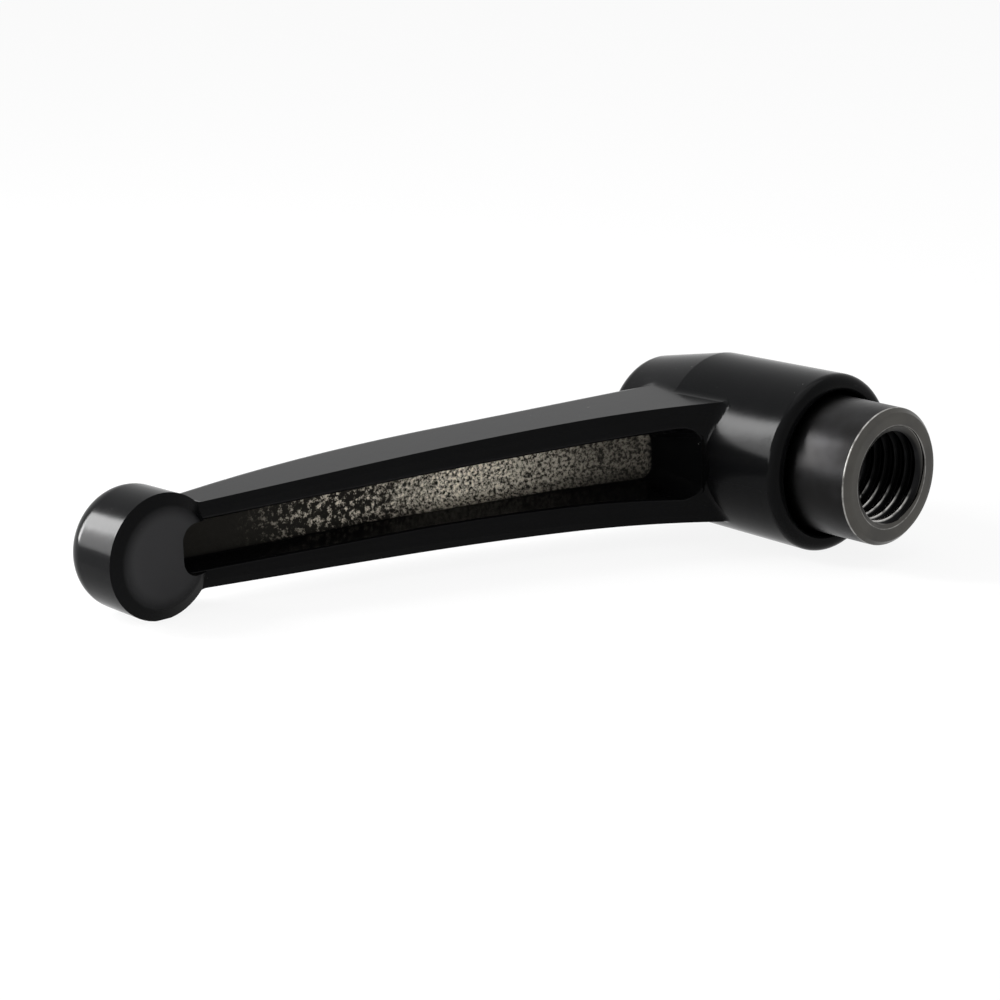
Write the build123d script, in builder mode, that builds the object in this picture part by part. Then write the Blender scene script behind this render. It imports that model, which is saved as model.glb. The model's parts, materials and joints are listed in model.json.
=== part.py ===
from build123d import *
import math
import os

# Adjustable clamping lever, lying on its flank: +Z is normal to its plane of symmetry.
# The thread's axis is Y. The insert opens towards -Y, the arm points towards -X and
# climbs towards +Y. The origin is the centre of the insert's end face.
# Heights are measured along +Y from that face, and reaches along -X from the axis.
# All lengths are in millimetres and all angles in degrees.

# ---- threaded insert -------------------------------------------------------------
insert_diameter = 21.0
insert_length = 29.0
insert_edge_chamfer = 0.7
thread_diameter = 16.0
thread_pitch = 2.0
thread_depth = 19.0
drill_point_depth = 3.0
countersink_diameter = 15.8
countersink_angle = 120.0

# ---- serration between insert and lever --------------------------------------------
tooth_count = 24
tooth_height = 1.0
tooth_tip_flat = 0.25
insert_tooth_length = 6.0
lever_tooth_length = 5.0
tooth_clearance = 0.08

# ---- lift, spring and retaining screw ----------------------------------------------
spring_wire = 1.2
spring_mean_diameter = 9.9
spring_turns = 4.5
spring_working_length = 12.6
spring_end_clearance = 0.02
screw_shoulder_diameter = 7.0
screw_shoulder_clearance = 0.05
screw_head_diameter = 12.0
screw_head_height = 4.0
screw_head_round = 0.6
screw_thread_diameter = 6.0
screw_thread_length = 6.5
screw_thread_clearance = 0.05
screw_socket_across_flats = 5.0
screw_socket_depth = 2.4

# ---- lever: hub ----------------------------------------------------------------------
hub_base_height = 11.2
hub_base_diameter = 27.5
hub_base_round_share = 0.63
hub_draft = 1.0
hub_top_height = 50.0
hub_top_rise = 14.8
hub_top_draft = 11.1
base_bore_clearance = 0.7
base_bore_round_share = 0.27
web_thickness = 3.0
recess_clearance = 0.6
recess_mouth_chamfer = 0.8

# ---- lever: knob at the tip ------------------------------------------------------------
lever_length = 96.6
knob_diameter = 18.6
knob_top_rise = 3.7
knob_thickness = 12.7
knob_draft = 1.1
knob_bevel_height = 1.0
knob_bevel_width = 2.2
knob_face_round = 2.5

# ---- lever: arm ------------------------------------------------------------------------
# Reaches are from the hub's axis, setbacks are from the knob's axis, and drops are from the
# hub's top. The underside bends twice from the hub to the knob.
under_root_reach = 7.5
under_root_drop = 28.14
under_root_slope = 41.3
under_bend_reach = 29.946
under_bend_drop = 14.25
under_flat_reach = 59.892
under_flat_drop = 4.9
under_end_slope = 13.4
# Upper side: the straight part leaves the hub, then bends over until it is level.
upper_root_drop = 9.4
upper_root_slope = 17.3
upper_bend_reach = 45.1122
upper_end_setback = 12.558
arm_root_width = 20.9
arm_tip_width = 15.2
flank_draft = 1.5
rim_bevel_height = 0.35
rim_bevel_width = 1.2
upper_edge_round = 2.5
arm_root_fillet = 2.0
knob_neck_fillet = 1.8

# ---- lever: channel in the arm's underside ---------------------------------------------
channel_end_inset = 0.43
channel_end_draft = 3.6
channel_nose_angle = 16.6
channel_tip_setback = 3.0
channel_root_width = 11.6
channel_tip_width = 7.2
channel_wall_draft = 9.9
channel_root_depth = 7.6
channel_mid_depth = 6.4
channel_tip_depth = 5.0
channel_floor_round = 1.8
channel_lip_round = 1.0
channel_corner_round = 2.5


def across(height):
    """Plane square to the thread's axis at a height, with its normal along +Y."""
    return Plane(origin=(0, height, 0), x_dir=(1, 0, 0), z_dir=(0, 1, 0))


def at(reach, height):
    """Point of the symmetry plane."""
    return (-reach, height)


def slope_of(angle):
    """Rise over run of an angle."""
    return math.tan(math.radians(angle))


def serration(tip_radius, root_radius, flat_angle):
    """Closed ring of straight-flanked teeth, with a flat on each tip and each root."""
    step = 360 / tooth_count
    points = []
    for tooth in range(tooth_count):
        centre = tooth * step
        for radius, angle in (
            (tip_radius, centre - flat_angle / 2),
            (tip_radius, centre + flat_angle / 2),
            (root_radius, centre + step / 2 - flat_angle / 2),
            (root_radius, centre + step / 2 + flat_angle / 2),
        ):
            turn = math.radians(angle)
            points.append((radius * math.cos(turn), radius * math.sin(turn)))
    return points


def middle_height(reach):
    """Height half way between the arm's underside and its upper side."""
    root = (under_root[1] + upper_root_height) / 2
    tip = (under_tip_height + upper_end_height) / 2
    return root + (tip - root) * reach / lever_length


def is_flank_edge(edge):
    """True for an edge along the arm, between a flank and the underside or upper side."""
    return 1 < -edge.center().X < lever_length - 1 and abs(edge.center().Z) > 1


def is_under_edge(edge):
    """True for an edge nearer to the arm's underside than to its upper side."""
    return edge.center().Y < middle_height(-edge.center().X)


def is_corner_edge(edge):
    """True for an upright corner of the channel's core."""
    return abs(edge.tangent_at(0.5).Y) > 0.9 and abs(edge.center().Z) > 1


def circles(piece, radius):
    """The piece's circular edges of one radius, in order of height."""
    found = piece.edges().filter_by(GeomType.CIRCLE)
    return found.filter_by(lambda edge: math.isclose(edge.radius, radius)).sort_by(Axis.Y)


# Sizes that follow from the ones above.
insert_radius = insert_diameter / 2
thread_core_radius = (thread_diameter - 1.0825 * thread_pitch) / 2
countersink_width = countersink_diameter / 2 - thread_core_radius
countersink_depth = countersink_width / slope_of(countersink_angle / 2)
tooth_root_radius = insert_radius - tooth_height
tooth_flat_angle = math.degrees(tooth_tip_flat / insert_radius)
web_top = insert_length + web_thickness
head_bottom = web_top + spring_working_length
head_top = head_bottom + screw_head_height
recess_radius = screw_head_diameter / 2 + recess_clearance
base_bore_radius = insert_radius + base_bore_clearance
hub_base_radius = hub_base_diameter / 2
hub_base_wall = hub_base_radius - base_bore_radius
hub_base_round = hub_base_wall * hub_base_round_share
base_bore_round = hub_base_wall * base_bore_round_share
hub_crease_height = hub_top_height - hub_top_rise
crease_rise = hub_crease_height - hub_base_height
hub_crease_radius = hub_base_radius - crease_rise * slope_of(hub_draft)
hub_top_radius = hub_crease_radius - hub_top_rise * slope_of(hub_top_draft)

under_root = (under_root_reach, hub_top_height - under_root_drop)
under_bend = (under_bend_reach, hub_top_height - under_bend_drop)
under_flat = (under_flat_reach, hub_top_height - under_flat_drop)
under_tip_height = under_flat[1] + (lever_length - under_flat[0]) * slope_of(under_end_slope)
upper_root_height = hub_top_height - upper_root_drop
upper_bend_height = upper_root_height + upper_bend_reach * slope_of(upper_root_slope)
upper_end_reach = lever_length - upper_end_setback
upper_bend_run = upper_end_reach - upper_bend_reach
upper_end_height = upper_bend_height + upper_bend_run * slope_of(upper_root_slope / 2)

knob_radius = knob_diameter / 2
knob_top_height = upper_end_height + knob_top_rise
knob_face_height = knob_top_height - knob_thickness
knob_edge_height = knob_face_height + knob_bevel_height
knob_top_radius = knob_radius - (knob_top_height - knob_edge_height) * slope_of(knob_draft)

channel_tip_reach = lever_length - channel_tip_setback
channel_end_reach = hub_crease_radius - channel_end_inset
channel_end_rise = (channel_end_reach - under_root_reach) * slope_of(under_root_slope)
channel_end_lip = (channel_end_reach, under_root[1] + channel_end_rise)
lip_drop = hub_crease_height - channel_end_lip[1]
hub_lip_radius = hub_crease_radius + lip_drop * slope_of(hub_draft)

# ---- threaded insert: a turned and serrated steel bush -------------------------------------
with BuildPart() as threaded_insert:
    with BuildSketch(across(0)):
        Circle(insert_radius)
    extrude(amount=insert_length - insert_tooth_length)
    with BuildSketch(across(insert_length - insert_tooth_length)):
        Polygon(*serration(insert_radius, tooth_root_radius, tooth_flat_angle), align=None)
    extrude(amount=insert_tooth_length)
    end_edge = threaded_insert.edges().filter_by(GeomType.CIRCLE).sort_by(Axis.Y)[0]
    chamfer(end_edge, insert_edge_chamfer)
    with BuildSketch(Plane.XY):
        with BuildLine():
            Polyline(
                (0, 0),
                (countersink_diameter / 2, 0),
                (thread_core_radius, countersink_depth),
                (thread_core_radius, thread_depth),
                (0, thread_depth + drill_point_depth),
                close=True,
            )
        make_face()
    revolve(axis=Axis.Y, mode=Mode.SUBTRACT)
    with BuildSketch(across(insert_length)):
        Circle(screw_thread_diameter / 2 + screw_thread_clearance)
    extrude(amount=-(insert_length - thread_depth), mode=Mode.SUBTRACT)

# ---- retaining screw: shoulder screw turned into the insert's upper end --------------------
with BuildPart() as retaining_screw:
    with BuildSketch(across(insert_length - screw_thread_length)):
        Circle(screw_thread_diameter / 2)
    extrude(amount=screw_thread_length)
    with BuildSketch(across(insert_length)):
        Circle(screw_shoulder_diameter / 2)
    extrude(amount=head_bottom - insert_length)
    with BuildSketch(across(head_bottom)):
        Circle(screw_head_diameter / 2)
    extrude(amount=screw_head_height)
    head_edge = retaining_screw.edges().filter_by(GeomType.CIRCLE).sort_by(Axis.Y)[-1]
    fillet(head_edge, screw_head_round)
    with BuildSketch(across(head_top)):
        RegularPolygon(screw_socket_across_flats / 2, 6, major_radius=False)
    extrude(amount=-screw_socket_depth, mode=Mode.SUBTRACT)

# ---- compression spring: round wire between the lever's web and the screw's head -----------
coil_height = spring_working_length - spring_wire - 2 * spring_end_clearance
coil_start = web_top + spring_end_clearance + spring_wire / 2
with BuildPart() as compression_spring:
    with BuildLine() as coil:
        Helix(
            pitch=coil_height / spring_turns,
            height=coil_height,
            radius=spring_mean_diameter / 2,
            center=(0, coil_start, 0),
            direction=(0, 1, 0),
        )
    with BuildSketch(Plane(origin=coil.line @ 0, z_dir=coil.line % 0)):
        Circle(spring_wire / 2)
    sweep(path=coil.line, is_frenet=True)

# ---- lever: its arm before the channel is made ------------------------------------------------
with BuildPart() as arm:
    # The side view, as wide as needed, cut to the drafted plan view.
    with BuildSketch(Plane.XY):
        with BuildLine():
            under_tip = at(lever_length, under_tip_height)
            straight = Line(under_tip, at(*under_flat))
            gentle = TangentArc(at(*under_flat), at(*under_bend), tangent=straight % 1)
            tight = TangentArc(at(*under_bend), at(*under_root), tangent=gentle % 1)
            upper_root = at(0, upper_root_height)
            Polyline(tight @ 1, at(0, under_root[1]), upper_root)
            slope_line = Line(upper_root, at(upper_bend_reach, upper_bend_height))
            upper_end = at(upper_end_reach, upper_end_height)
            crown = TangentArc(slope_line @ 1, upper_end, tangent=slope_line % 1)
            Polyline(crown @ 1, at(lever_length, upper_end_height), under_tip)
        make_face()
    extrude(amount=arm_root_width, both=True)
    with BuildSketch(across(0)):
        with BuildLine():
            Polyline(
                (0, -arm_root_width / 2),
                (-lever_length, -arm_tip_width / 2),
                (-lever_length, arm_tip_width / 2),
                (0, arm_root_width / 2),
                close=True,
            )
        make_face()
    extrude(amount=knob_top_height, taper=flank_draft, mode=Mode.INTERSECT)
    # A bevel along each side of the underside, and a round along each side of the top.
    for side in (Axis.Z, -Axis.Z):
        flank = arm.faces().sort_by(side)[-1]
        rim = flank.edges().filter_by(is_flank_edge).filter_by(is_under_edge)
        chamfer(rim, rim_bevel_height, rim_bevel_width, reference=flank)
    crest = arm.edges().filter_by(is_flank_edge).filter_by(is_under_edge, reverse=True)
    fillet(crest, upper_edge_round)

# ---- lever: core of the channel in the arm's underside ------------------------------------------
with BuildPart() as channel_core:
    with BuildSketch(Plane.XY):
        with BuildLine():
            floor_tip = at(lever_length, under_tip_height + channel_tip_depth)
            flat = Line(floor_tip, at(under_flat[0], under_flat[1] + channel_mid_depth))
            bend = TangentArc(
                flat @ 1, at(under_bend[0], under_bend[1] + channel_root_depth), tangent=flat % 1
            )
            down = Line(bend @ 1, bend @ 1 + (bend % 1) * under_bend[0])
            Polyline(down @ 1, (0, hub_base_height), at(lever_length, hub_base_height), floor_tip)
        make_face()
        with BuildLine():
            lip_reach, lip_height = channel_end_lip
            lean = slope_of(channel_end_draft)
            foot_reach = lip_reach - (lip_height - hub_base_height) * lean
            top_reach = lip_reach + (knob_top_height - lip_height) * lean
            Polyline(
                at(foot_reach, hub_base_height),
                at(top_reach, knob_top_height),
                at(channel_tip_reach, knob_top_height),
                at(channel_tip_reach, hub_base_height),
                close=True,
            )
        make_face(mode=Mode.INTERSECT)
    extrude(amount=arm_root_width, both=True)
    for side in (1, -1):
        wall_root = Vector(*at(*channel_end_lip), side * channel_root_width / 2)
        wall_tip = Vector(-channel_tip_reach, under_tip_height, side * channel_tip_width / 2)
        drawn = Vector(0, 1, -side * slope_of(channel_wall_draft))
        along = wall_tip - wall_root
        wall = Plane(origin=wall_root, x_dir=along, z_dir=along.cross(drawn) * -side)
        split(bisect_by=wall, keep=Keep.BOTTOM)
    fillet(channel_core.edges().filter_by(is_corner_edge), channel_corner_round)
    floor_faces = channel_core.faces().filter_by(lambda face: face.normal_at().Y > 0.8)
    fillet(floor_faces.edges(), channel_floor_round)

# The arm with its channel, whose mouth has rounded lips.
with BuildPart() as hollow_arm:
    add(arm.part)
    add(channel_core.part, mode=Mode.SUBTRACT)
    mouth_edges = hollow_arm.edges(Select.NEW)
    mouth_edges = mouth_edges.filter_by(lambda edge: edge.center().X > -channel_tip_reach)
    fillet(mouth_edges.filter_by(is_under_edge), channel_lip_round)

# What is taken out of the finished lever: the hollow with its lips up to the hub's side, and
# the core itself, whose nose runs out of the hub's side in an arch.
nose_plane = Plane(
    origin=(-channel_end_lip[0], channel_end_lip[1], 0),
    x_dir=(0, 0, 1),
    z_dir=(-1, slope_of(channel_nose_angle), 0),
)
with BuildPart() as channel:
    add(arm.part)
    add(hollow_arm.part, mode=Mode.SUBTRACT)
    with BuildSketch(across(0)):
        Circle(hub_lip_radius)
    extrude(amount=hub_top_height, mode=Mode.SUBTRACT)
    add(channel_core.part.split(nose_plane, keep=Keep.TOP))

# ---- lever: the zinc die casting ---------------------------------------------------------------------
with BuildPart() as lever:
    add(arm.part)

    # Hub: two drafted cones about the thread's axis.
    with BuildSketch(Plane.XY) as hub_profile:
        with BuildLine():
            Polyline(
                (0, hub_base_height),
                (hub_base_radius, hub_base_height),
                (hub_crease_radius, hub_crease_height),
                (hub_top_radius, hub_top_height),
                (0, hub_top_height),
                close=True,
            )
        make_face()
        base_corner = (hub_base_radius, hub_base_height)
        fillet(hub_profile.vertices().sort_by_distance(base_corner)[0], hub_base_round)
    revolve(axis=Axis.Y)
    fillet(lever.edges(Select.NEW), arm_root_fillet)

    # Knob: a drafted disc at the tip, with the rim's bevel carried round its face.
    with BuildSketch(Plane.XY) as knob_profile:
        with BuildLine():
            Polyline(
                at(lever_length, knob_face_height),
                at(lever_length + knob_radius - knob_bevel_width, knob_face_height),
                at(lever_length + knob_radius, knob_edge_height),
                at(lever_length + knob_top_radius, knob_top_height),
                at(lever_length, knob_top_height),
                close=True,
            )
        make_face()
        face_corner = at(lever_length + knob_radius - knob_bevel_width, knob_face_height)
        fillet(knob_profile.vertices().sort_by_distance(face_corner)[0], knob_face_round)
    revolve(axis=Axis((-lever_length, 0, 0), (0, 1, 0)))
    neck_edges = lever.edges(Select.NEW)
    fillet(neck_edges.filter_by(lambda edge: edge.center().Y > under_tip_height), knob_neck_fillet)

    add(channel.part, mode=Mode.SUBTRACT)

    # Base bore round the insert, then the internal teeth that mesh with the insert's.
    with BuildSketch(across(hub_base_height)):
        Circle(base_bore_radius)
    extrude(amount=insert_length - lever_tooth_length - hub_base_height, mode=Mode.SUBTRACT)
    fillet(circles(lever, base_bore_radius)[0], base_bore_round)
    with BuildSketch(across(insert_length - lever_tooth_length)):
        lever_root_radius = insert_radius + tooth_clearance
        lever_tip_radius = tooth_root_radius + tooth_clearance
        Polygon(*serration(lever_root_radius, lever_tip_radius, tooth_flat_angle), align=None)
    extrude(amount=lever_tooth_length, mode=Mode.SUBTRACT)

    # Web hole for the screw's shoulder, and the recess for the spring and the screw's head.
    with BuildSketch(across(insert_length)):
        Circle(screw_shoulder_diameter / 2 + screw_shoulder_clearance)
    extrude(amount=web_thickness, mode=Mode.SUBTRACT)
    with BuildSketch(Plane.XY):
        with BuildLine():
            Polyline(
                (0, web_top),
                (recess_radius, web_top),
                (recess_radius, hub_top_height - recess_mouth_chamfer),
                (recess_radius + recess_mouth_chamfer, hub_top_height),
                (0, hub_top_height),
                close=True,
            )
        make_face()
    revolve(axis=Axis.Y, mode=Mode.SUBTRACT)

os.makedirs("parts", exist_ok=True)

threaded_insert.part.label = "threaded_insert"
export_step(threaded_insert.part, "parts/threaded_insert.step")

retaining_screw.part.label = "retaining_screw"
export_step(retaining_screw.part, "parts/retaining_screw.step")

compression_spring.part.label = "compression_spring"
export_step(compression_spring.part, "parts/compression_spring.step")

lever.part.label = "lever"
export_step(lever.part, "parts/lever.step")
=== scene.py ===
import json
import math
from typing import NamedTuple

import bmesh
import bpy
from bpy.props import FloatProperty, FloatVectorProperty, IntProperty, PointerProperty
from mathutils import Matrix, Vector


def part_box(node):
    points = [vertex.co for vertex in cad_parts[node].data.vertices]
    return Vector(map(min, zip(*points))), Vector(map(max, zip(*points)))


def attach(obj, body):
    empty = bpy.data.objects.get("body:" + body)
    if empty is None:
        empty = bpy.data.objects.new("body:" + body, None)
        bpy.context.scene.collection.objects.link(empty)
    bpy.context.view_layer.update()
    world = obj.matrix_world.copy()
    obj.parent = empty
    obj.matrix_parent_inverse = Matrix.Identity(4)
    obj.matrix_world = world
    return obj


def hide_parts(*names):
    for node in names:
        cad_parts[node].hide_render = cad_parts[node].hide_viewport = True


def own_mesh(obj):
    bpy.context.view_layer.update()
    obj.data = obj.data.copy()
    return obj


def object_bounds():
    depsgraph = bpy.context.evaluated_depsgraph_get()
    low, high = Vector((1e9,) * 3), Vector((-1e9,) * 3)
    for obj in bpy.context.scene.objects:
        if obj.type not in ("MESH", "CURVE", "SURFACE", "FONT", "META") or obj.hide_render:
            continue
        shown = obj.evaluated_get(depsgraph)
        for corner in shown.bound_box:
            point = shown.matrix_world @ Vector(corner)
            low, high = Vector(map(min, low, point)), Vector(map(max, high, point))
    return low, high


bl_info = {
    "name": "Adjustable clamping lever",
    "version": (1, 0, 0),
    "blender": (4, 5, 0),
    "location": "View3D > Sidebar > Clamping Lever",
    "description": "Dresses the packed clamping lever with a cut thread, a spring and finishes",
    "category": "Object",
}

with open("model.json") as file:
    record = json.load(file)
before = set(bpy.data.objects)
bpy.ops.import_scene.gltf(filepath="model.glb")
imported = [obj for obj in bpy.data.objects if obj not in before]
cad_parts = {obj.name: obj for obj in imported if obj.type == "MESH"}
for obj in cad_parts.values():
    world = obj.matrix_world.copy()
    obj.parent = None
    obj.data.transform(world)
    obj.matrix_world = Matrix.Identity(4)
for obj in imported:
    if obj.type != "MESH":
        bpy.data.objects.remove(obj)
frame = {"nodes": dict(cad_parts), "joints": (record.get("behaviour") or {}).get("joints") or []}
cad_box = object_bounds()
cad_middle = (Vector(cad_box[0]) + Vector(cad_box[1])) / 2
insert_low, insert_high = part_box("threaded_insert")
spring_low, spring_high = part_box("compression_spring")
lever_low, lever_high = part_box("lever")

MM = 0.001
COUNTERSINK_DIAMETER = 15.8 * MM
# Height of a metric thread's profile, as a share of its pitch.
THREAD_HEIGHT = 0.54125
# Attribute that keeps the direction in which each face corner of the casting is shaded.
SHADING = "shading"


class Boss(NamedTuple):
    """A turned boss of the casting, in millimetres."""

    centre: float  # where its axis stands along X
    radius: float  # of the corner where its wall would meet its top
    slope: float  # what its wall gains in radius for each millimetre down
    top: float  # height of its top
    foot: float  # height from which its wall is free of the arm


KNOB = Boss(centre=-96.6, radius=9.075, slope=0.0192, top=lever_high.y / MM, foot=55.0)
HUB = Boss(centre=0.0, radius=10.427, slope=0.1962, top=50.0, foot=36.0)


# ---- node helpers ----------------------------------------------------------------------------


class Wire:
    """A node's output that takes part in Python arithmetic by adding Math nodes."""

    def __init__(self, graph, socket):
        self.graph = graph
        self.socket = socket

    def math(self, operation, *others):
        values = dict(enumerate((self, *others)))
        return self.graph.node("ShaderNodeMath", {"operation": operation}, values)

    def __add__(self, other):
        return self.math("ADD", other)

    def __radd__(self, other):
        return self.math("ADD", other)

    def __sub__(self, other):
        return self.math("SUBTRACT", other)

    def __rsub__(self, other):
        return self.graph.node(
            "ShaderNodeMath", {"operation": "SUBTRACT"}, {0: other, 1: self}
        )

    def __mul__(self, other):
        return self.math("MULTIPLY", other)

    def __rmul__(self, other):
        return self.math("MULTIPLY", other)

    def __truediv__(self, other):
        return self.math("DIVIDE", other)

    def __pow__(self, other):
        return self.math("POWER", other)

    def __abs__(self):
        return self.math("ABSOLUTE")

    def fraction(self):
        return self.math("FRACT")

    def sine(self):
        return self.math("SINE")

    def cosine(self):
        return self.math("COSINE")

    def at_least(self, other):
        return self.math("MAXIMUM", other)

    def at_most(self, other):
        return self.math("MINIMUM", other)

    def step(self, low, high, kind="LINEAR"):
        """0 below low and 1 above high, with a straight ramp between."""
        return self.graph.node(
            "ShaderNodeMapRange",
            {"clamp": True, "interpolation_type": kind},
            {0: self, 1: low, 2: high, 3: 0.0, 4: 1.0},
        )

    def smooth(self, low, high):
        """0 below low and 1 above high, with a smooth ramp between."""
        return self.step(low, high, "SMOOTHSTEP")


class Graph:
    """Adds nodes to one tree."""

    def __init__(self, tree):
        self.tree = tree

    def node(self, kind, settings=None, sockets=None, output=0):
        """Adds a node: its settings first, then the value or link of each named socket."""
        made = self.tree.nodes.new(kind)
        for name, value in (settings or {}).items():
            setattr(made, name, value)
        for key, value in (sockets or {}).items():
            if isinstance(value, Wire):
                self.tree.links.new(value.socket, made.inputs[key])
            else:
                made.inputs[key].default_value = value
        if not made.outputs:
            return made
        return Wire(self, made.outputs[output])

    def noise(self, point, cell, detail=2.0, roughness=0.5):
        """Noise from 0 to 1 whose features are about cell across."""
        return self.node(
            "ShaderNodeTexNoise",
            {"noise_dimensions": "3D"},
            {"Vector": point, "Scale": 1.0 / cell, "Detail": detail, "Roughness": roughness},
        )

    def mix_colour(self, factor, first, second):
        return self.node(
            "ShaderNodeMix", {"data_type": "RGBA"}, {0: factor, 6: first, 7: second}, output=2
        )

    def vector(self, x, y, z):
        return self.node("ShaderNodeCombineXYZ", {}, {0: x, 1: y, 2: z})

    def store_shading(self, geometry, direction):
        """Keeps each face corner's shading direction as an attribute."""
        return self.node(
            "GeometryNodeStoreNamedAttribute",
            {"data_type": "FLOAT_VECTOR", "domain": "CORNER"},
            {"Geometry": geometry, "Name": SHADING, "Value": direction},
        )

    def axes(self, point):
        """The three coordinates of a point."""
        split = self.tree.nodes.new("ShaderNodeSeparateXYZ")
        self.tree.links.new(point.socket, split.inputs[0])
        return [Wire(self, socket) for socket in split.outputs]

    def axes_in_mm(self, point):
        return [axis / MM for axis in self.axes(point)]


def colour(value, share=1.0):
    """An opaque colour, made darker or paler by a share."""
    return (*(min(1.0, part * share) for part in value), 1.0)


def start_material(name):
    """A material with an empty tree, its graph and its Object coordinates."""
    material = bpy.data.materials.new(name)
    material.use_nodes = True
    material.node_tree.nodes.clear()
    graph = Graph(material.node_tree)
    point = graph.node("ShaderNodeTexCoord", output="Object")
    return material, graph, point


def finish_material(graph, sockets):
    shader = graph.node("ShaderNodeBsdfPrincipled", {}, sockets)
    graph.node("ShaderNodeOutputMaterial", {}, {"Surface": shader})


def bump(graph, height, distance):
    return graph.node("ShaderNodeBump", {}, {"Height": height, "Distance": distance})


# ---- sizes and colours that a user would change ----------------------------------------------


def length(name, description, default):
    return FloatProperty(
        name=name, description=description, default=default, unit="LENGTH", precision=5, min=0.0
    )


def tint(name, description, default):
    return FloatVectorProperty(
        name=name, description=description, default=default, subtype="COLOR", size=3, min=0, max=1
    )


class InsertSettings(bpy.types.PropertyGroup):
    """Sizes and finish of the threaded insert."""

    outer_diameter: length(
        "Outer Diameter", "Diameter of the bush", insert_high.x - insert_low.x
    )
    bush_length: length("Length", "Length of the bush", insert_high.y - insert_low.y)
    thread_diameter: length("Thread Diameter", "Largest diameter of the thread", 16 * MM)
    thread_pitch: length("Thread Pitch", "Distance from one thread to the next", 2 * MM)
    thread_depth: length("Thread Depth", "Depth of the cut thread", 19 * MM)
    tooth_count: IntProperty(name="Teeth", description="Serrations round the bush", default=24)
    tooth_height: length("Tooth Height", "Radial height of the serrations", 1 * MM)
    tooth_length: length("Tooth Length", "Length of the serrated end", 6 * MM)
    steel: tint("Blackened Steel", "Colour of the blackened outside", (0.013, 0.0127, 0.0127))
    end_steel: tint("End Face", "Colour of the turned end face", (0.072, 0.069, 0.063))
    # Colour of the worn edges, which also carries their painted highlights.
    worn_and_highlit_steel: tint("Worn and Highlit Steel", "Colour of the worn edges", (0.55, 0.54, 0.52))


class SpringSettings(bpy.types.PropertyGroup):
    """Sizes and finish of the spring and the retaining screw."""

    wire_diameter: length("Wire Diameter", "Thickness of the spring wire", 1.2 * MM)
    turns: FloatProperty(name="Turns", description="Turns of the spring", default=4.5, min=1)
    wire_colour: tint("Spring Wire", "Colour of the wire", (0.33, 0.33, 0.34))
    screw_colour: tint("Screw Steel", "Colour of the retaining screw", (0.07, 0.07, 0.072))


class LeverSettings(bpy.types.PropertyGroup):
    """Rounds and finish of the die-cast lever."""

    knob_round: length("Knob Round", "Round of the knob's upper corner", 4.5 * MM)
    hub_round: length("Hub Round", "Round of the hub's upper corner", 3 * MM)
    coat_colour: tint("Coat", "Colour of the black coating", (0.0025, 0.0026, 0.0028))
    # The floor's two colours carry painted light: the dark one is dark grain in painted shade, the
    # pale one is grain in painted light.
    floor_dark_grain_and_shade: tint("Dark Grain and Painted Shade", "Dark grain of the channel's floor", (0.014, 0.013, 0.011))
    floor_lit_pale_grain: tint("Pale Grain in Painted Light", "Light grain of the channel's floor", (1.0, 0.92, 0.76))
    coat_roughness: FloatProperty(
        name="Coat Roughness", description="Roughness of the coating", default=0.16, min=0, max=1
    )


class StageSettings(bpy.types.PropertyGroup):
    """Floor, lamps and camera."""

    focal_length: FloatProperty(
        name="Focal Length", description="Focal length of the camera in millimetres",
        default=115.2, min=10,
    )
    ambient: FloatProperty(
        name="Ambient Light", description="Strength of the world's light", default=0.6, min=0
    )
    floor_colour: tint("Floor", "Colour of the floor", (0.86, 0.86, 0.86))


# ---- materials -------------------------------------------------------------------------------


def channel_floor_mask(reach, y, z):
    """1 on the floor of the arm's channel and 0 elsewhere. Lengths are in millimetres."""
    # The floor climbs towards the knob in three stretches, each less steep than the last.
    first_bend, second_bend = 30.0, 60.0
    root_climb, middle_climb, tip_climb = 0.346, 0.272, 0.2
    root_height = 32.97
    floor_height = (
        reach.at_most(first_bend) * root_climb
        + (reach.at_least(first_bend).at_most(second_bend) - first_bend) * middle_climb
        + (reach.at_least(second_bend) - second_bend) * tip_climb
        + root_height
    )
    root_half_width, narrowing = 4.3, 0.016
    half_width = root_half_width - reach * narrowing

    # The mask fades out over these stretches: off the floor, at its sides and at its two ends.
    off_floor, past_side = (0.75, 1.15), (-0.5, 0.1)
    root_end, tip_end = (13.2, 14.2), (91.5, 93.0)
    near_floor = 1.0 - abs(y - floor_height).smooth(*off_floor)
    inside = 1.0 - (abs(z) - half_width).smooth(*past_side)
    along = reach.smooth(*root_end) * (1.0 - reach.smooth(*tip_end))
    return near_floor * inside * along


def floor_grain_and_painted_light(graph, point, reach, z):
    """The grain of the rough cast floor, and how light each spot of it is under painted light.

    It gets coarser and more contrasted towards the knob, and the painted light is brightest halfway
    along the arm.
    """
    fine_cell, coarse_cell, patch_cell = 0.5 * MM, 0.95 * MM, 7 * MM
    fine_grain = graph.noise(point, fine_cell, 3.0, 0.7)
    coarse_grain = graph.noise(point, coarse_cell, 3.0, 0.75)
    coarsening = (42.0, 66.0)
    tipward = reach.smooth(*coarsening)
    grain = fine_grain * (1.0 - tipward) + coarse_grain * tipward

    # Painted shade: the root, the tip and the side that lies downwards are dimmer than the painted
    # light in the middle.
    past_root, to_tip, up_side = (18.0, 46.0), (60.0, 82.0), (-4.0, -1.0)
    root_painted_light, down_side_painted_light = 0.2, 0.3
    painted_light_middle = reach.smooth(*past_root) * (1.0 - root_painted_light) + root_painted_light
    painted_light_middle = painted_light_middle * (1.0 - reach.smooth(*to_tip))
    painted_light_side = z.smooth(*up_side) * (1.0 - down_side_painted_light) + down_side_painted_light
    dark_below = tipward * 0.12 + 0.38
    light_above = tipward * 0.04 + 0.64
    light = grain.smooth(dark_below, light_above) * painted_light_middle * painted_light_side
    patch = graph.noise(point, patch_cell, 1.0)
    return grain, light * (0.65 + patch * 0.5)


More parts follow.
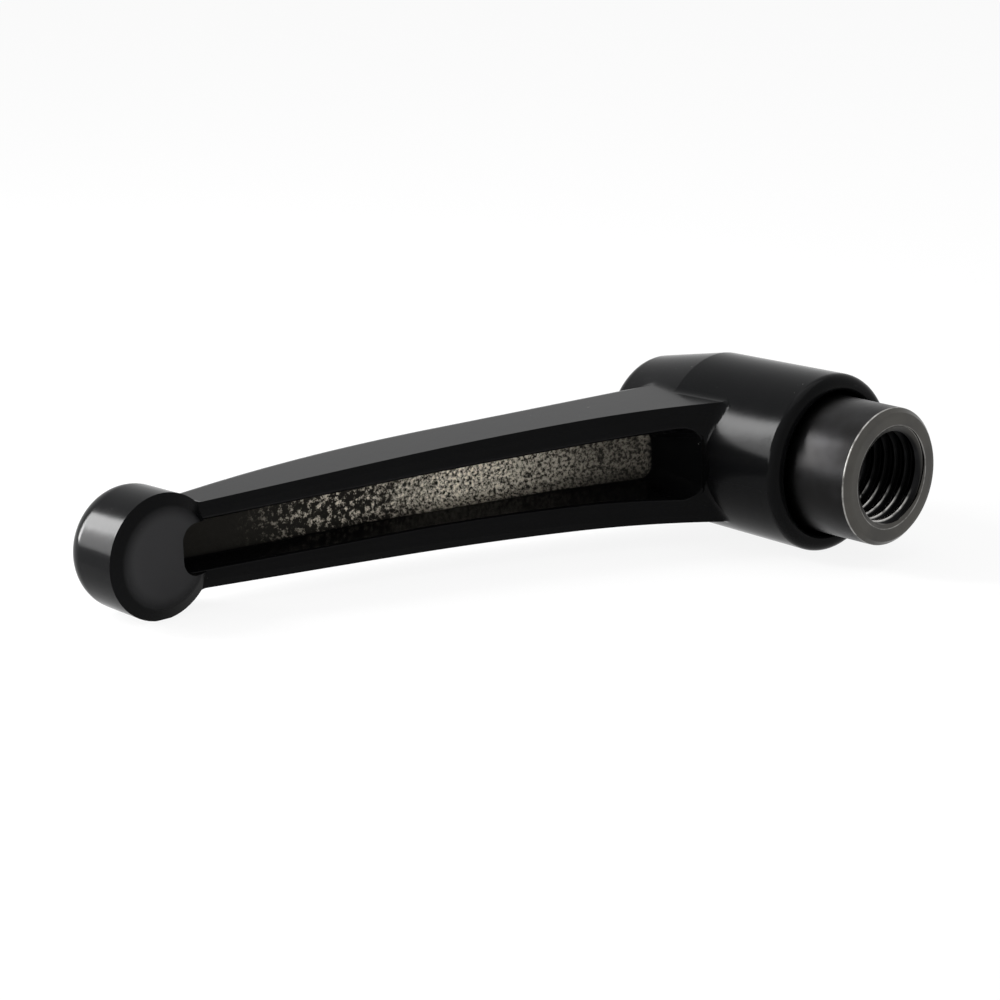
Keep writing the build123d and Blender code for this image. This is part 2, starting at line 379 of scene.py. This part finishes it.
def coated_casting(settings):
    """Black powder coating, with a rough cast floor in the arm's channel that is pale where painted
    light lies on its grain.
    """
    material, graph, point = start_material("black_powder_coat")
    x, y, z = graph.axes_in_mm(point)
    reach = x * -1.0
    floor_mask = channel_floor_mask(reach, y, z)
    off_floor = 1.0 - floor_mask
    grain, light = floor_grain_and_painted_light(graph, point, reach, z)
    # The floor's colour runs from dark grain in painted shade to pale grain in painted light.
    floor = graph.mix_colour(light, colour(settings.floor_dark_grain_and_shade), colour(settings.floor_lit_pale_grain))

    # Coating: slow changes of depth, a few pale specks, and a greyer face where hands hold it.
    speck_colour, handled_colour = (0.12, 0.12, 0.11), (0.026, 0.026, 0.027)
    cloud = graph.noise(point, 9 * MM, 2.0)
    thick_coat, thin_coat = colour(settings.coat_colour, 0.8), colour(settings.coat_colour, 1.3)
    coat = graph.mix_colour(cloud, thick_coat, thin_coat)
    speck = graph.noise(point, 0.7 * MM, 1.0).smooth(0.8, 0.84)
    coat = graph.mix_colour(speck * 0.5, coat, colour(speck_colour))
    knob_face_height = 51.57
    face_edge, past_face = (5.4, 8.4), (0.1, 0.3)
    across = x - KNOB.centre
    off_axis = (across * across + z * z) ** 0.5
    off_face = y - knob_face_height
    handled = (1.0 - off_axis.smooth(*face_edge)) * (1.0 - off_face.smooth(*past_face))
    coat = graph.mix_colour(handled, coat, colour(handled_colour))

    coat_roughness = settings.coat_roughness + (cloud - 0.5) * 0.06 + speck * 0.2
    floor_roughness = 0.62
    fine_peel, wide_peel = graph.noise(point, 0.9 * MM, 2.0), graph.noise(point, 2.6 * MM, 1.0)
    orange_peel = fine_peel * 0.6 + wide_peel * 0.4
    peel_depth, grain_depth = 0.16, 3.0
    height = orange_peel * off_floor * peel_depth + grain * floor_mask * grain_depth
    coat_ior = 1.13
    finish_material(
        graph,
        {
            "Base Color": graph.mix_colour(floor_mask, coat, floor),
            "Roughness": coat_roughness * off_floor + floor_mask * floor_roughness,
            "IOR": coat_ior,
            "Normal": bump(graph, height, 0.05 * MM),
        },
    )
    return material


def worn_and_highlit_edges(y, z, radius, outer, core, mouth):
    """Where the bush is bright: its end's rim and its mouth's rim, which are worn and carry a
    painted highlight, and its lower thread crests, which carry a painted highlight.
    """
    rim_width = 0.1
    on_rim = (radius - (outer - rim_width)).smooth(0.0, 0.06)
    end_rim = on_rim * (1.0 - y.smooth(0.8, 0.95))
    mouth_rim = (1.0 - abs(radius - mouth).smooth(0.02, 0.12)) * (1.0 - y.smooth(0.3, 0.7))
    # Painted highlight on the thread crests: only on the lower side, fading deeper into the bore.
    highlight_depth, downwards = (12.0, 18.0), (3.2, 6.2)
    crests = (1.0 - (radius - core).smooth(0.05, 0.35)) * (1.0 - y.smooth(*highlight_depth))
    painted_highlight_crests = crests * (z * -1.0).smooth(*downwards)
    # The rims' brightness is wear together with a painted highlight.
    end_rim_wear_and_highlight, mouth_rim_wear_and_highlight = 0.5, 0.35
    return (end_rim * end_rim_wear_and_highlight).at_least(mouth_rim * mouth_rim_wear_and_highlight).at_least(painted_highlight_crests)


def blackened_steel(settings):
    """Turned, blackened steel that is bright where its edges are worn and highlights are painted,
    with painted shade in its bore.
    """
    material, graph, point = start_material("blackened_steel")
    x, y, z = graph.axes_in_mm(point)
    radius = (x * x + z * z) ** 0.5
    outer = settings.outer_diameter / 2 / MM
    core = settings.thread_diameter / 2 / MM - THREAD_HEIGHT * settings.thread_pitch / MM
    mouth = COUNTERSINK_DIAMETER / 2 / MM

    patches = graph.noise(point, 1.6 * MM, 3.0, 0.6)
    # Wear and painted highlights together, broken up by patches.
    worn = worn_and_highlit_edges(y, z, radius, outer, core, mouth) * patches.smooth(0.25, 0.6)

    # The outside, the paler turned end, painted shade in the bore and stains over all of them.
    bore_shade_colour, stain_colour = (0.006, 0.006, 0.006), (0.03, 0.03, 0.032)
    on_end = 1.0 - y.smooth(0.7, 0.95)
    steel = graph.mix_colour(on_end, colour(settings.steel), colour(settings.end_steel))
    # Painted shade: the bore is darker than the outside.
    in_bore_shade = (1.0 - (radius - (mouth - 0.1)).smooth(0.0, 0.3)) * y.smooth(0.2, 1.2)
    steel = graph.mix_colour(in_bore_shade, steel, colour(bore_shade_colour))
    stain = graph.noise(point, 5.5 * MM, 2.0, 0.6).smooth(0.35, 0.75) * 0.35
    steel = graph.mix_colour(stain, steel, colour(stain_colour))

    # Turning marks: rings on the end face and along the outside.
    marks = 42.0  # radians for each millimetre
    face_rings = (radius * marks + patches * 2.0).sine()
    side_rings = (y * marks + patches).sine()
    on_face = 1.0 - y.smooth(0.02, 0.08)
    rings = face_rings * on_face + side_rings * (1.0 - on_face)
    finish_material(
        graph,
        {
            "Base Color": graph.mix_colour(worn, steel, colour(settings.worn_and_highlit_steel)),
            "Metallic": 1.0,
            "Roughness": 0.28 + patches * 0.12 - worn * 0.08,
            "Normal": bump(graph, rings * 0.12 + patches * 0.5, 0.02 * MM),
        },
    )
    return material


def plain_steel(name, tone, cell, rough):
    """Drawn or turned steel with fine streaks."""
    material, graph, point = start_material(name)
    streak = graph.noise(point, cell, 3.0, 0.6)
    base = graph.mix_colour(streak, colour(tone, 0.75), colour(tone, 1.25))
    finish_material(
        graph,
        {
            "Base Color": base,
            "Metallic": 1.0,
            "Roughness": rough + (streak - 0.5) * 0.12,
            "Normal": bump(graph, streak, 0.01 * MM),
        },
    )
    return material


# ---- Geometry Nodes trees --------------------------------------------------------------------


def start_tree(name, inputs):
    """A Geometry Nodes tree with number inputs, and the wires of those inputs."""
    tree = bpy.data.node_groups.new(name, "GeometryNodeTree")
    tree.interface.new_socket("Geometry", in_out="INPUT", socket_type="NodeSocketGeometry")
    for label, (kind, default) in inputs.items():
        socket = tree.interface.new_socket(label, in_out="INPUT", socket_type=kind)
        socket.default_value = default
    tree.interface.new_socket("Geometry", in_out="OUTPUT", socket_type="NodeSocketGeometry")
    graph = Graph(tree)
    group_input = tree.nodes.new("NodeGroupInput")
    wires = {socket.name: Wire(graph, socket) for socket in group_input.outputs if socket.name}
    return tree, graph, wires


def end_tree(graph, geometry, material):
    realised = graph.node("GeometryNodeRealizeInstances", {}, {0: geometry})
    finished = graph.node(
        "GeometryNodeSetMaterial", {}, {"Geometry": realised, "Material": material}
    )
    graph.node("NodeGroupOutput", {}, {0: finished})


def grown(name, tree, values):
    """A plain mesh object made by a Geometry Nodes tree with the given inputs."""
    carrier = bpy.data.objects.new(name, bpy.data.meshes.new(name))
    bpy.context.scene.collection.objects.link(carrier)
    modifier = carrier.modifiers.new("shape", "NODES")
    modifier.node_group = tree
    for item in tree.interface.items_tree:
        if item.in_out == "INPUT" and item.name in values:
            modifier[item.identifier] = values[item.name]
    bpy.context.view_layer.update()
    evaluated = carrier.evaluated_get(bpy.context.evaluated_depsgraph_get())
    mesh = bpy.data.meshes.new_from_object(evaluated)
    carrier.modifiers.remove(modifier)
    carrier.data = mesh
    mesh.name = name
    return carrier


def shade_by_angle(mesh, sharp_angle):
    """Turns a made mesh's faces outwards, and shades it smooth but for its sharp edges."""
    shape = bmesh.new()
    shape.from_mesh(mesh)
    bmesh.ops.recalc_face_normals(shape, faces=shape.faces)
    shape.to_mesh(mesh)
    shape.free()
    mesh.shade_smooth()
    mesh.set_sharp_from_angle(angle=math.radians(sharp_angle))


def shade_as_stored(mesh):
    """Shades the casting in the directions that its tree kept."""
    mesh.shade_smooth()
    directions = [Vector(corner.vector).normalized() for corner in mesh.attributes[SHADING].data]
    mesh.normals_split_custom_set(directions)


def round_corner(graph, geometry, boss, radius):
    """Draws a boss's sharp upper corner in to a round. Lengths are in millimetres.

    Only the faces of the boss's own wall and top are divided. Points beyond the round move onto
    it, and a fillet that meets the wall there moves with it, less and less over its own width.
    """
    near_wall, near_top, past_edge = 0.15, 0.02, 0.05
    fillet_width = 1.8
    divisions = 3
    x, y, z = graph.axes_in_mm(graph.node("GeometryNodeInputPosition"))
    across = x - boss.centre
    out = (across * across + z * z) ** 0.5
    wall = (boss.top - y) * boss.slope + boss.radius
    on_wall = abs(out - wall).math("LESS_THAN", near_wall) * y.math("GREATER_THAN", boss.foot)
    on_top = abs(y - boss.top).math("LESS_THAN", near_top)
    on_top = on_top * out.math("LESS_THAN", boss.radius + past_edge)
    chosen = on_wall.at_least(on_top)
    own_faces = graph.node(
        "GeometryNodeSeparateGeometry", {"domain": "FACE"}, {0: geometry, 1: chosen}
    )
    other_faces = Wire(graph, own_faces.socket.node.outputs["Inverted"])
    divided = graph.node("GeometryNodeSubdivideMesh", {}, {0: own_faces, 1: divisions})

    # The round's centre lies its radius below the top and its radius inside the sloping wall.
    centre_out = radius * (boss.slope - math.hypot(1, boss.slope)) + boss.radius
    right = out.at_most(wall) - centre_out
    rise = y - (boss.top - radius)
    distance = (right * right + rise * rise) ** 0.5
    above_wall_end = (rise - right * boss.slope).math("GREATER_THAN", 0.0)
    beyond = right.math("GREATER_THAN", 0.0) * above_wall_end
    follows = 1.0 - (out - wall).smooth(0.0, fillet_width)
    pull = (radius / distance - 1.0).at_most(0.0) * beyond * follows * MM
    sideways = right / out
    offset = graph.vector(across * sideways * pull, rise * pull, z * sideways * pull)
    drawn, others = (
        graph.node("GeometryNodeSetPosition", {}, {0: part, "Offset": offset})
        for part in (divided, other_faces)
    )

    # The round is shaded straight away from its centre, and the rest as it was.
    facing = graph.vector(across * sideways / distance, rise / distance, z * sideways / distance)
    kept = graph.node(
        "GeometryNodeInputNamedAttribute", {"data_type": "FLOAT_VECTOR"}, {0: SHADING}
    )
    direction = graph.node(
        "ShaderNodeMix", {"data_type": "VECTOR"}, {0: beyond, 4: kept, 5: facing}, output=1
    )
    joined = graph.tree.nodes.new("GeometryNodeJoinGeometry")
    for part in (graph.store_shading(drawn, direction), others):
        graph.tree.links.new(part.socket, joined.inputs[0])
    return Wire(graph, joined.outputs[0])


def rounded_casting_tree(material):
    """The lever's casting, with rounds on the upper corners of its knob and its hub."""
    number = "NodeSocketFloat"
    tree, graph, given = start_tree(
        "Rounded Casting", {"Knob Round": (number, 0.0045), "Hub Round": (number, 0.003)}
    )
    casting = graph.node(
        "GeometryNodeObjectInfo", {}, {"Object": frame["nodes"]["lever"]}, output="Geometry"
    )
    casting = graph.store_shading(casting, graph.node("GeometryNodeInputNormal"))
    casting = round_corner(graph, casting, KNOB, given["Knob Round"] / MM)
    casting = round_corner(graph, casting, HUB, given["Hub Round"] / MM)
    end_tree(graph, casting, material)
    return tree


def threaded_bush_tree(material):
    """A bush whose closed section is turned round the Y axis, with a helix and teeth cut in it.

    Rows of a grid run along the section and its columns run round the axis.
    """
    number, whole = "NodeSocketFloat", "NodeSocketInt"
    tree, graph, given = start_tree(
        "Threaded Bush",
        {
            "Outer Diameter": (number, 0.021),
            "Length": (number, 0.029),
            "Thread Diameter": (number, 0.016),
            "Pitch": (number, 0.002),
            "Thread Depth": (number, 0.019),
            "Teeth": (whole, 24),
            "Tooth Height": (number, 0.001),
            "Tooth Length": (number, 0.006),
            "Edge Chamfer": (number, 0.0007),
            "Countersink Diameter": (number, COUNTERSINK_DIAMETER),
            "Countersink Slope": (number, math.tan(math.radians(60))),
            "Screw Hole Diameter": (number, 0.0061),
            "Drill Point Depth": (number, 0.003),
        },
    )
    outer = given["Outer Diameter"] / 2.0
    end = given["Length"]
    pitch = given["Pitch"]
    crest = (given["Thread Diameter"] - pitch * (2 * THREAD_HEIGHT)) / 2.0
    depth = given["Thread Depth"]
    mouth = given["Countersink Diameter"] / 2.0
    hole = given["Screw Hole Diameter"] / 2.0
    chamfer = given["Edge Chamfer"]
    teeth_start = end - given["Tooth Length"]
    cone_rise = given["Drill Point Depth"] * (1.0 - hole / crest)

    # The section's knots from the mouth to the teeth, as (rows, radius, height). Each edge is
    # softened over a short way to both sides of it.
    soft = 0.00008
    knots = [
        (1, mouth + soft, 0.0),
        (3, outer - chamfer - soft, 0.0),
        (1, outer - chamfer + soft * 0.5, soft * 0.5),
        (1, outer - soft * 0.5, chamfer - soft * 0.5),
        (1, outer, chamfer + soft),
        (2, outer, teeth_start),
    ]
    columns, rows_per_pitch = 192, 16
    thread_start, thread_rows = 2, 168
    thread_end = thread_start + thread_rows
    knot_rows = sum(rows for rows, _, _ in knots)
    tooth_step_rows, teeth_rows, end_rows, hole_rows = 1, 2, 2, 2
    total = thread_end + knot_rows + tooth_step_rows + teeth_rows + end_rows + hole_rows
    grid = graph.node(
        "GeometryNodeMeshGrid",
        {},
        {"Size X": 1.0, "Size Y": 1.0, "Vertices X": columns + 1, "Vertices Y": total + 1},
    )
    across, along, _ = graph.axes(graph.node("GeometryNodeInputPosition"))
    turn = across + 0.5
    row = ((along + 0.5) * float(total)).math("ROUND")

    # From the screw hole down the drill point's cone to the end of the thread.
    radius = hole + (crest - hole) * row.step(0, 1)
    height = depth + cone_rise * (1.0 - row.step(0, 1))

    # The thread: rows follow the helix, and the groove fades out at its inner end. The whole
    # turns keep the phase above zero. Both shares are of the pitch.
    half_crest, flank = 0.125, 0.3125
    run_out_length, whole_turns = 0.0025, 100.0
    down = (row - thread_start) / rows_per_pitch
    climb = (depth + pitch * (turn - down)).at_most(depth).at_least(0.0)
    phase = abs((turn - climb / pitch + whole_turns).fraction() - 0.5)
    run_out = (depth - climb).step(0.0, run_out_length)
    cut = ((phase - half_crest) / flank).at_least(0.0).at_most(1.0) * run_out
    cone = mouth - climb * given["Countersink Slope"]
    thread_radius = (crest + pitch * THREAD_HEIGHT * cut).at_most(mouth).at_least(cone)
    in_thread = row.step(1, thread_start) * (1.0 - row.step(thread_end, thread_end + 1))
    radius = radius * (1.0 - in_thread) + thread_radius * in_thread
    height = height * (1.0 - in_thread) + climb * in_thread

    # Past the thread, each knot adds its gain over its own rows.
    start = thread_end
    past_radius, past_height = mouth, 0.0
    last_radius, last_height = mouth, 0.0
    for rows, knot_radius, knot_height in knots:
        share = row.step(start, start + rows)
        past_radius = past_radius + (knot_radius - last_radius) * share
        past_height = past_height + share * (knot_height - last_height)
        start += rows
        last_radius, last_height = knot_radius, knot_height

    # The teeth, then the upper end and the screw hole back to the cone.
    tooth_flat = 0.045
    wave = abs((turn * given["Teeth"]).fraction() * 2.0 - 1.0)
    gap = given["Tooth Height"] * (1.0 - wave.step(tooth_flat, 1.0 - tooth_flat))
    tooth_radius = outer - gap
    shares = []
    for rows in (tooth_step_rows, teeth_rows, end_rows, hole_rows):
        shares.append(row.step(start, start + rows))
        start += rows
    into_teeth, up_teeth, to_hole, down_hole = shares
    past_radius = past_radius + (tooth_radius - outer) * into_teeth
    past_radius = past_radius + (hole - tooth_radius) * to_hole
    past_height = past_height + given["Tooth Length"] * up_teeth
    past_height = past_height - (end - depth - cone_rise) * down_hole
    past = row.step(thread_end - 0.5, thread_end)
    radius = radius * (1.0 - past) + past_radius * past
    height = height * (1.0 - past) + past_height * past

    angle = turn * (2.0 * math.pi)
    placed = graph.vector(radius * angle.sine(), height, radius * angle.cosine())
    turned = graph.node("GeometryNodeSetPosition", {}, {"Geometry": grid, "Position": placed})
    weld = 2e-6
    closed = graph.node("GeometryNodeMergeByDistance", {}, {"Geometry": turned, "Distance": weld})
    end_tree(graph, closed, material)
    return tree


def spring_tree(material):
    """A round wire wound on a helix, with closed ends."""
    number = "NodeSocketFloat"
    tree, graph, given = start_tree(
        "Compression Spring",
        {
            "Wire Diameter": (number, 0.0012),
            "Mean Diameter": (number, 0.0099),
            "Height": (number, 0.0113),
            "Start": (number, 0.0326),
            "Turns": (number, 4.5),
        },
    )
    steps_per_turn, steps_round_wire = 48, 14
    mean = given["Mean Diameter"] / 2.0
    helix = graph.node(
        "GeometryNodeCurveSpiral",
        {},
        {
            "Resolution": steps_per_turn,
            "Rotations": given["Turns"],
            "Start Radius": mean,
            "End Radius": mean,
            "Height": given["Height"],
        },
    )
    ring = graph.node(
        "GeometryNodeCurvePrimitiveCircle",
        {},
        {"Resolution": steps_round_wire, "Radius": given["Wire Diameter"] / 2.0},
    )
    wire = graph.node(
        "GeometryNodeCurveToMesh", {}, {"Curve": helix, "Profile Curve": ring, "Fill Caps": True}
    )
    shift = graph.vector(0.0, given["Start"], 0.0)
    stood = graph.node(
        "GeometryNodeTransform",
        {},
        {"Geometry": wire, "Translation": shift, "Rotation": (-math.pi / 2, 0.0, 0.0)},
    )
    end_tree(graph, stood, material)
    return tree


# ---- stage -----------------------------------------------------------------------------------


def background_factor(graph):
    """1 for the rays that see the plain white background."""
    path = graph.tree.nodes.new("ShaderNodeLightPath")
    names = ("Is Camera Ray", "Is Glossy Ray", "Is Transmission Ray")
    seen, mirrored, through = (Wire(graph, path.outputs[name]) for name in names)
    return seen.at_least(mirrored).at_least(through)


def white_world(settings):
    world = bpy.data.worlds.new("studio")
    bpy.context.scene.world = world
    world.use_nodes = True
    world.node_tree.nodes.clear()
    graph = Graph(world.node_tree)
    light = graph.node(
        "ShaderNodeBackground", {}, {"Color": (1, 1, 1, 1), "Strength": settings.ambient}
    )
    white = graph.node("ShaderNodeBackground", {}, {"Color": (1, 1, 1, 1), "Strength": 1.0})
    both = graph.node("ShaderNodeMixShader", {}, {0: background_factor(graph), 1: light, 2: white})
    graph.node("ShaderNodeOutputWorld", {}, {"Surface": both})


def pale_floor(settings):
    """A floor that the hub and the knob rest on."""
    material, graph, point = start_material("pale_floor")
    grain = graph.noise(point, 30 * MM, 2.0)
    shaded, bare = colour(settings.floor_colour, 0.98), colour(settings.floor_colour)
    paint = graph.mix_colour(grain, shaded, bare)
    matt = graph.node("ShaderNodeBsdfDiffuse", {}, {"Color": paint})
    white = graph.node("ShaderNodeEmission", {}, {"Color": (1, 1, 1, 1), "Strength": 1.0})
    factor = background_factor(graph) * 0.88
    both = graph.node("ShaderNodeMixShader", {}, {0: factor, 1: matt, 2: white})
    graph.node("ShaderNodeOutputMaterial", {}, {"Surface": both})

    # The hub is thicker than the knob, so the floor leans to touch both.
    hub_radius = -lever_low.z
    knob_radius = 9.2 * MM
    knob_reach = -lever_low.x - knob_radius
    lean = math.asin((hub_radius - knob_radius) / knob_reach)
    half_width = 3.0
    corners = []
    for side_x, side_y in ((-1, -1), (1, -1), (1, 1), (-1, 1)):
        x = side_x * half_width
        height = -hub_radius / math.cos(lean) - x * math.tan(lean)
        corners.append((x, side_y * half_width, height))
    mesh = bpy.data.meshes.new("floor")
    mesh.from_pydata(corners, [], [(0, 1, 2, 3)])
    mesh.materials.append(material)
    floor = bpy.data.objects.new("floor", mesh)
    bpy.context.scene.collection.objects.link(floor)


def softbox(name, direction, distance, width, height, radiance):
    """An area lamp that faces the lever's middle and that the camera itself doesn't see."""
    lamp = bpy.data.lights.new(name, "AREA")
    lamp.shape = "RECTANGLE"
    lamp.size, lamp.size_y = width, height
    lamp.energy = radiance * math.pi * width * height
    box = bpy.data.objects.new(name, lamp)
    bpy.context.scene.collection.objects.link(box)
    away = Vector(direction).normalized()
    box.location = cad_middle + away * distance
    box.rotation_euler = away.to_track_quat("Z", "Y").to_euler()
    box.visible_camera = False


def place_camera(settings):
    camera = bpy.data.cameras.new("camera")
    camera.lens = settings.focal_length
    camera.sensor_width = 36.0
    camera.clip_start = 0.01
    stand = bpy.data.objects.new("camera", camera)
    bpy.context.scene.collection.objects.link(stand)
    place = (-0.35638, -0.29316, 0.13637)
    look = Vector((0.65621, 0.69721, -0.28860)).normalized()
    up = Vector((0.22052, 0.18858, 0.95698))
    right = look.cross(up).normalized()
    up = right.cross(look)
    turn = Matrix((right, up, -look)).transposed()
    stand.matrix_world = Matrix.Translation(place) @ turn.to_4x4()
    bpy.context.scene.camera = stand


# ---- operators -------------------------------------------------------------------------------


class CLAMPLEVER_OT_insert(bpy.types.Operator):
    """Make the threaded insert with its cut thread, countersink and serration"""

    bl_idname = "clamplever.insert"
    bl_label = "Threaded Insert"

    def execute(self, context):
        settings = context.scene.clamplever_insert
        material = blackened_steel(settings)
        values = {
            "Outer Diameter": settings.outer_diameter,
            "Length": settings.bush_length,
            "Thread Diameter": settings.thread_diameter,
            "Pitch": settings.thread_pitch,
            "Thread Depth": settings.thread_depth,
            "Teeth": settings.tooth_count,
            "Tooth Height": settings.tooth_height,
            "Tooth Length": settings.tooth_length,
        }
        bush = grown("threaded_bush", threaded_bush_tree(material), values)
        shade_by_angle(bush.data, sharp_angle=24)
        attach(bush, "insert")
        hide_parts("threaded_insert")
        return {"FINISHED"}


class CLAMPLEVER_OT_spring(bpy.types.Operator):
    """Make the spring and finish the retaining screw above it"""

    bl_idname = "clamplever.spring"
    bl_label = "Spring and Screw"

    def execute(self, context):
        settings = context.scene.clamplever_spring
        wire = plain_steel("spring_wire", settings.wire_colour, 0.8 * MM, 0.3)
        inset = 0.02 * MM
        values = {
            "Wire Diameter": settings.wire_diameter,
            "Mean Diameter": spring_high.x - spring_low.x - settings.wire_diameter - inset,
            "Height": spring_high.y - spring_low.y - settings.wire_diameter - inset,
            "Start": spring_low.y + settings.wire_diameter / 2 + inset,
            "Turns": settings.turns,
        }
        coil = grown("coil_spring", spring_tree(wire), values)
        shade_by_angle(coil.data, sharp_angle=60)
        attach(coil, "spring")
        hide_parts("compression_spring")
        space = spring_high.y - spring_low.y
        lift = next(joint for joint in frame["joints"] if joint["name"] == "lever_lift")
        kept = (space - lift["range_m"][1]) / space
        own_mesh(coil)
        finish = plain_steel("screw_steel", settings.screw_colour, 1.2 * MM, 0.38)
        frame["nodes"]["retaining_screw"].material_slots[0].material = finish
        return {"FINISHED"}


class CLAMPLEVER_OT_lever(bpy.types.Operator):
    """Make the die-cast lever with its rounds, its coating and its channel's grain with painted
    light
    """

    bl_idname = "clamplever.lever"
    bl_label = "Die-cast Lever"

    def execute(self, context):
        settings = context.scene.clamplever_lever
        material = coated_casting(settings)
        values = {"Knob Round": settings.knob_round, "Hub Round": settings.hub_round}
        casting = grown("lever_casting", rounded_casting_tree(material), values)
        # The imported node's own material came along with its faces, and none of them uses it now.
        casting.data.materials.pop(index=0)
        shade_as_stored(casting.data)
        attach(casting, "lever")
        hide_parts("lever")
        return {"FINISHED"}


class CLAMPLEVER_OT_stage(bpy.types.Operator):
    """Set the floor, the soft lamps, the white surroundings and the camera"""

    bl_idname = "clamplever.stage"
    bl_label = "Stage"

    def execute(self, context):
        settings = context.scene.clamplever_stage
        white_world(settings)
        pale_floor(settings)
        # Each lamp: its direction, distance, width, height and radiance.
        softbox("back_left_softbox", (-0.72, 0.69, 0.14), 0.7, 0.45, 0.4, 11.0)
        softbox("hub_softbox", (-0.50, 0.74, 0.45), 0.27, 0.05, 0.24, 50.0)
        softbox("top_softbox", (0.15, 0.1, 1.0), 0.8, 0.7, 0.7, 1.2)
        place_camera(settings)
        context.scene.view_settings.view_transform = "Standard"
        return {"FINISHED"}


class CLAMPLEVER_PT_panel(bpy.types.Panel):
    """Lists the lever's pieces and the stage"""

    bl_label = "Clamping Lever"
    bl_idname = "CLAMPLEVER_PT_panel"
    bl_space_type = "VIEW_3D"
    bl_region_type = "UI"
    bl_category = "Clamping Lever"

    def draw(self, context):
        scene = context.scene
        groups = (
            ("clamplever.insert", scene.clamplever_insert),
            ("clamplever.spring", scene.clamplever_spring),
            ("clamplever.lever", scene.clamplever_lever),
            ("clamplever.stage", scene.clamplever_stage),
        )
        for operator, settings in groups:
            box = self.layout.box()
            for name in settings.__annotations__:
                box.prop(settings, name)
            box.operator(operator)


CLASSES = (
    InsertSettings,
    SpringSettings,
    LeverSettings,
    StageSettings,
    CLAMPLEVER_OT_insert,
    CLAMPLEVER_OT_spring,
    CLAMPLEVER_OT_lever,
    CLAMPLEVER_OT_stage,
    CLAMPLEVER_PT_panel,
)


def register():
    for entry in CLASSES:
        bpy.utils.register_class(entry)
    bpy.types.Scene.clamplever_insert = PointerProperty(type=InsertSettings)
    bpy.types.Scene.clamplever_spring = PointerProperty(type=SpringSettings)
    bpy.types.Scene.clamplever_lever = PointerProperty(type=LeverSettings)
    bpy.types.Scene.clamplever_stage = PointerProperty(type=StageSettings)


def unregister():
    del bpy.types.Scene.clamplever_stage
    del bpy.types.Scene.clamplever_lever
    del bpy.types.Scene.clamplever_spring
    del bpy.types.Scene.clamplever_insert
    for entry in reversed(CLASSES):
        bpy.utils.unregister_class(entry)


def main():
    register()
    bpy.ops.clamplever.insert()
    bpy.ops.clamplever.spring()
    bpy.ops.clamplever.lever()
    bpy.ops.clamplever.stage()


if __name__ == "__main__":
    main()
